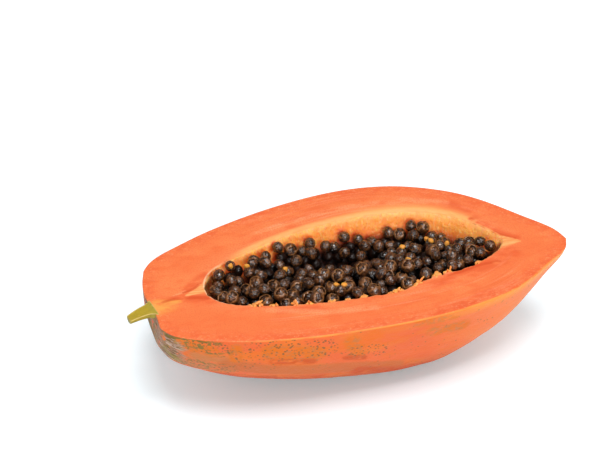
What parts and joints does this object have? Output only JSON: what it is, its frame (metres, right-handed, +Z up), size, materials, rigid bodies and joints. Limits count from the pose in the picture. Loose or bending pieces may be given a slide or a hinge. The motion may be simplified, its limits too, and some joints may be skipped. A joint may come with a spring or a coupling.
{
  "type": "halved papaya",
  "caption": "Ripe long papaya cut in half lengthwise, lying on its rounded back, with part of its stalk and a hollow filled with round dark seeds.",
  "frame": {"origin": "middle of the small flat spot on the belly that the fruit half lies on", "axes": "+X along the length from the stalk to the tip, +Z up at right angles to the level cut face, -Y the side that the stalk leans to"},
  "size_m": [0.2579, 0.1321, 0.0666],
  "materials": {
    "flesh": "moist salmon-orange cut flesh, with a smooth orange skin that is netted and green-flecked at the stalk end",
    "stalk": "pale yellow-green fibrous stalk, cut lengthwise",
    "seed": "near-black brown wrinkled seeds in a thin wet translucent coat"
  },
  "bodies": {
    "root": {"fruit_half": "flesh", "seed_clump_01": "seed", "seed_clump_02": "seed", "seed_clump_03": "seed", "seed_clump_04": "seed", "seed_clump_05": "seed", "seed_clump_06": "seed", "seed_clump_07": "seed", "seed_clump_08": "seed", "seed_clump_09": "seed", "seed_clump_10": "seed", "seed_clump_11": "seed", "seed_clump_12": "seed", "seed_clump_13": "seed", "seed_clump_14": "seed", "seed_clump_15": "seed", "seed_clump_16": "seed", "seed_clump_17": "seed", "seed_clump_18": "seed", "seed_clump_19": "seed", "seed_clump_20": "seed", "seed_clump_21": "seed", "seed_clump_22": "seed", "seed_clump_23": "seed", "seed_clump_24": "seed", "seed_clump_25": "seed", "seed_clump_26": "seed", "seed_clump_27": "seed", "seed_clump_28": "seed", "seed_clump_29": "seed", "seed_clump_30": "seed", "seed_clump_31": "seed", "seed_clump_32": "seed", "seed_clump_33": "seed", "seed_clump_34": "seed", "seed_clump_35": "seed", "seed_clump_36": "seed", "seed_clump_37": "seed", "seed_clump_38": "seed", "seed_clump_39": "seed", "seed_clump_40": "seed", "seed_clump_41": "seed", "seed_clump_42": "seed", "seed_clump_43": "seed", "stalk_half": "stalk"}
  },
  "joints": []
}
